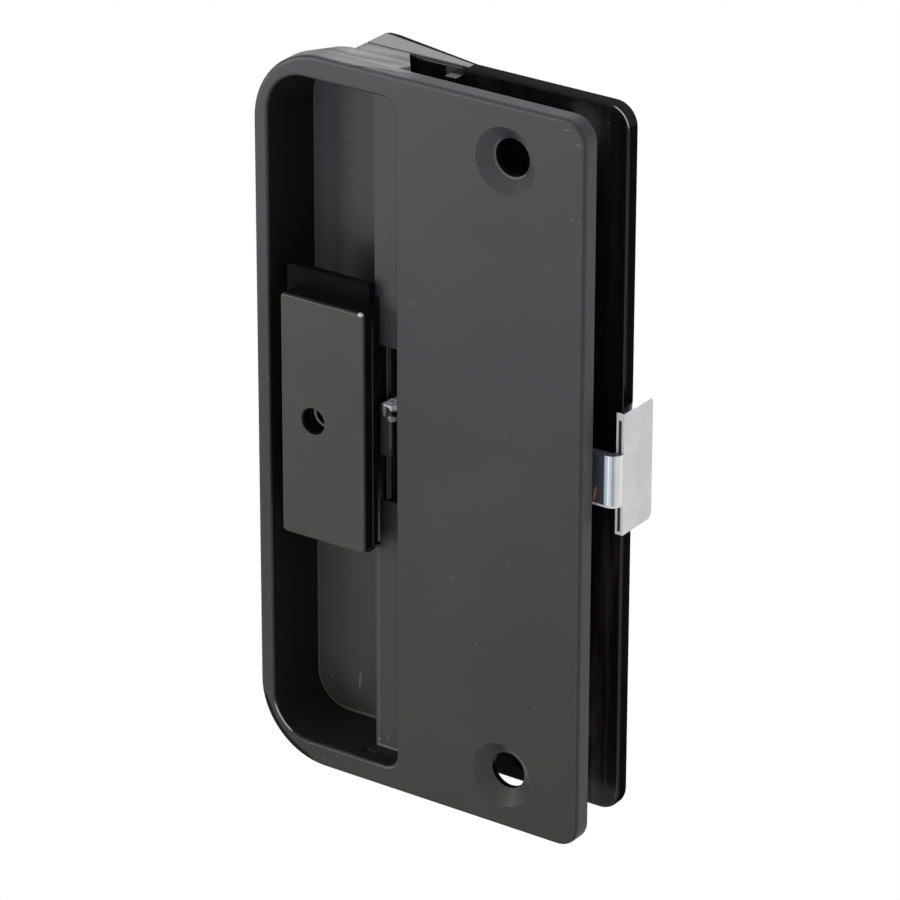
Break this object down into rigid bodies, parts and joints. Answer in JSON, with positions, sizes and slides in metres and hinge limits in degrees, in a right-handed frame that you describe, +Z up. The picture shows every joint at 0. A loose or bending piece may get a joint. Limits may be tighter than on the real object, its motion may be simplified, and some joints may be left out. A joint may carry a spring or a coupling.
{
  "type": "sliding screen door pull",
  "caption": "Flush inside housing with a finger recess and sprung thumb latch, clamped to an outside pull with a wedge grip; for a sliding screen door.",
  "frame": {"origin": "middle of the two screw holes, on the back of the housing's face plate, where the door's stile is clamped", "axes": "+X toward the door edge where the latch head stands out, +Y from the inside of the door to the outside, +Z up"},
  "size_m": [0.0473, 0.0151, 0.0896],
  "materials": {
    "moulded_black": "fine moulded matte",
    "gloss_black": "polished moulding",
    "key_black": "satin",
    "plated_steel": "bright zinc plated",
    "steel_wire": "drawn wire"
  },
  "bodies": {
    "housing": {"inside_housing": "moulded_black", "outside_pull": "gloss_black", "hinge_pin": "steel_wire", "torsion_spring": "steel_wire"},
    "latch": {"thumb_key": "key_black", "latch_strip": "plated_steel"}
  },
  "joints": [
    {"name": "latch_pivot", "type": "hinge", "parent": "housing", "child": "latch", "pos_m": [-0.0177, 0.001, 0], "axis": [0, 0, 1], "range_deg": [-2.6, 6], "stiffness_Nm_per_rad": 0.05}
  ]
}
